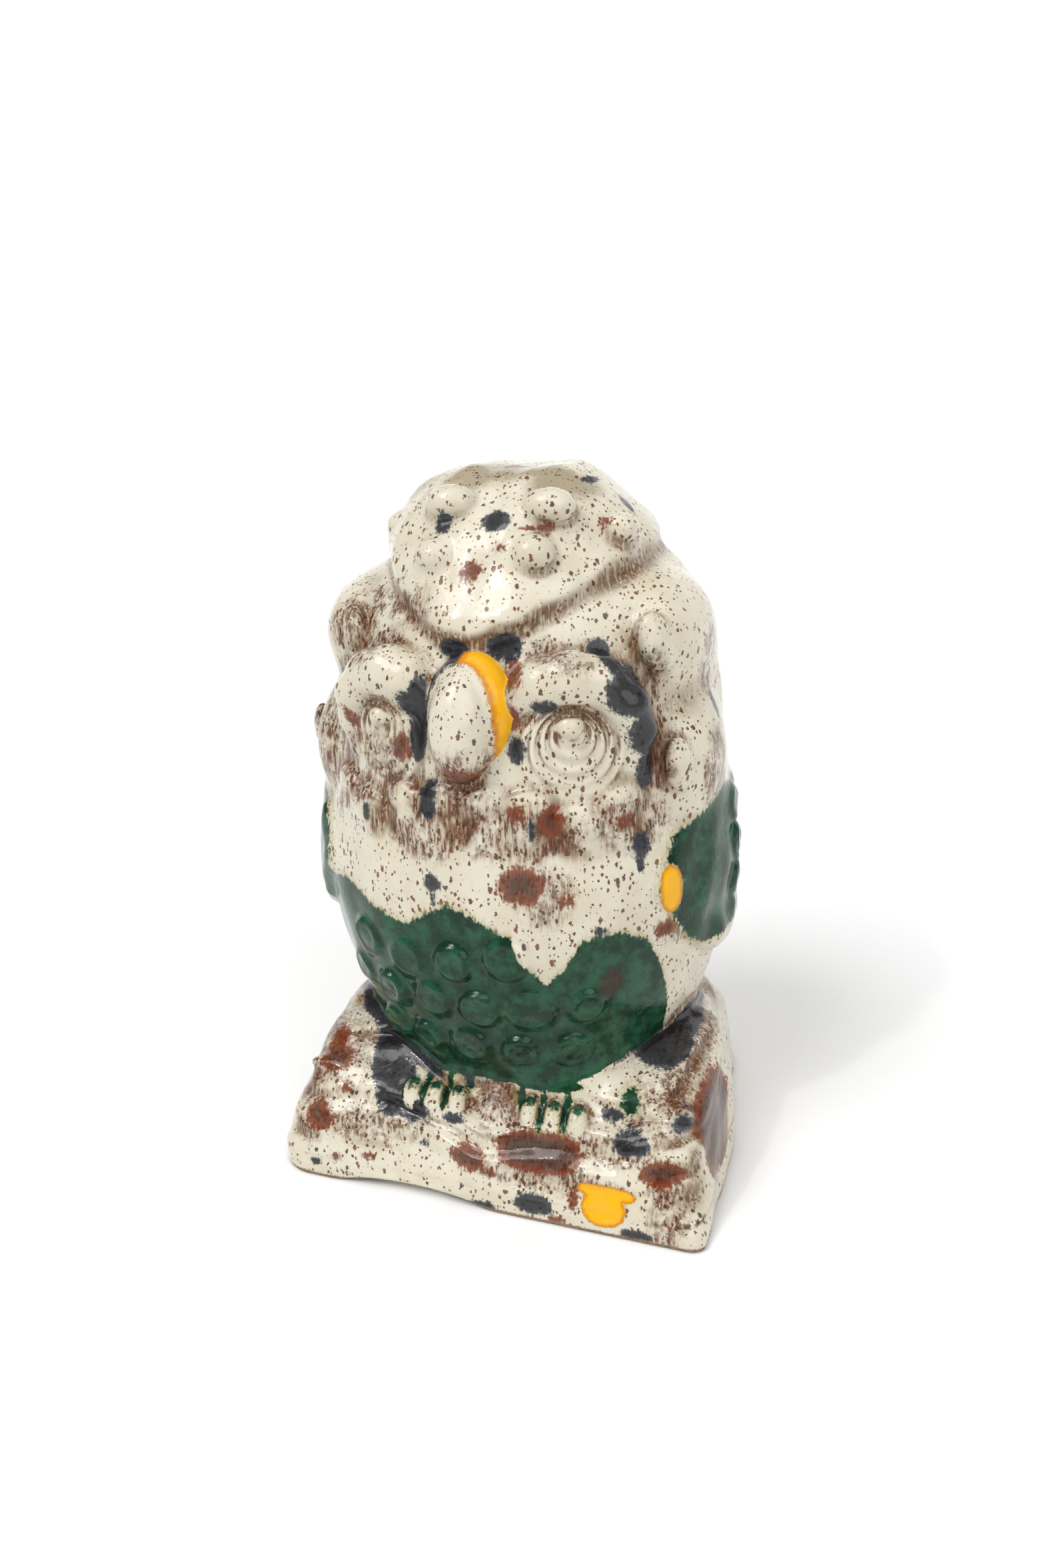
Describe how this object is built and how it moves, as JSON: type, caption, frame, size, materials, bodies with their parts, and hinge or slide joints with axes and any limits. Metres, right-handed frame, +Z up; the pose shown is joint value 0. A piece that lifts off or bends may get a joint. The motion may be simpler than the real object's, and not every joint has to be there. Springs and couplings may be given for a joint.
{
  "type": "owl figurine",
  "caption": "Glazed ceramic owl figurine with a barrel body, round ringed eyes and low relief feathers, perched on a half-round log base.",
  "frame": {"origin": "on the bottom plane, straight below the owl's upright axis", "axes": "+Z up, the owl faces -Y, the log lies along X"},
  "size_m": [0.1194, 0.1103, 0.178],
  "materials": {
    "cream_glaze": "gloss",
    "green_glaze": "gloss",
    "beak_glaze": "gloss",
    "log_glaze": "gloss",
    "bare_clay": "matte"
  },
  "bodies": {
    "root": {"bark_ridges_left": "log_glaze", "bark_ridges_right": "log_glaze", "bark_tongue": "log_glaze", "beak": "beak_glaze", "belly_scales_lower": "green_glaze", "belly_scales_middle": "green_glaze", "belly_scales_upper": "green_glaze", "body_shell": "cream_glaze", "brow_left": "cream_glaze", "brow_right": "cream_glaze", "cheek_inner_left": "cream_glaze", "cheek_inner_right": "cream_glaze", "cheek_outer_left": "cream_glaze", "cheek_outer_right": "cream_glaze", "crown_curls_front": "cream_glaze", "crown_curls_side": "cream_glaze", "crown_curls_top": "cream_glaze", "eye_disc_left": "cream_glaze", "eye_disc_right": "cream_glaze", "eye_nub_left": "cream_glaze", "eye_nub_right": "cream_glaze", "head_cap": "cream_glaze", "log_bark": "log_glaze", "log_end_left": "log_glaze", "log_end_right": "log_glaze", "log_floor": "bare_clay", "log_knot": "log_glaze", "ruff_feather_lower_left": "cream_glaze", "ruff_feather_lower_right": "cream_glaze", "ruff_feather_upper_left": "cream_glaze", "ruff_feather_upper_right": "cream_glaze", "ruff_left": "cream_glaze", "ruff_right": "cream_glaze", "tail": "cream_glaze", "toe_left_inner": "cream_glaze", "toe_left_middle": "cream_glaze", "toe_left_outer": "cream_glaze", "toe_right_inner": "cream_glaze", "toe_right_middle": "cream_glaze", "toe_right_outer": "cream_glaze", "wing_left": "green_glaze", "wing_right": "green_glaze", "wing_scales_left": "green_glaze", "wing_scales_right": "green_glaze"}
  },
  "joints": []
}
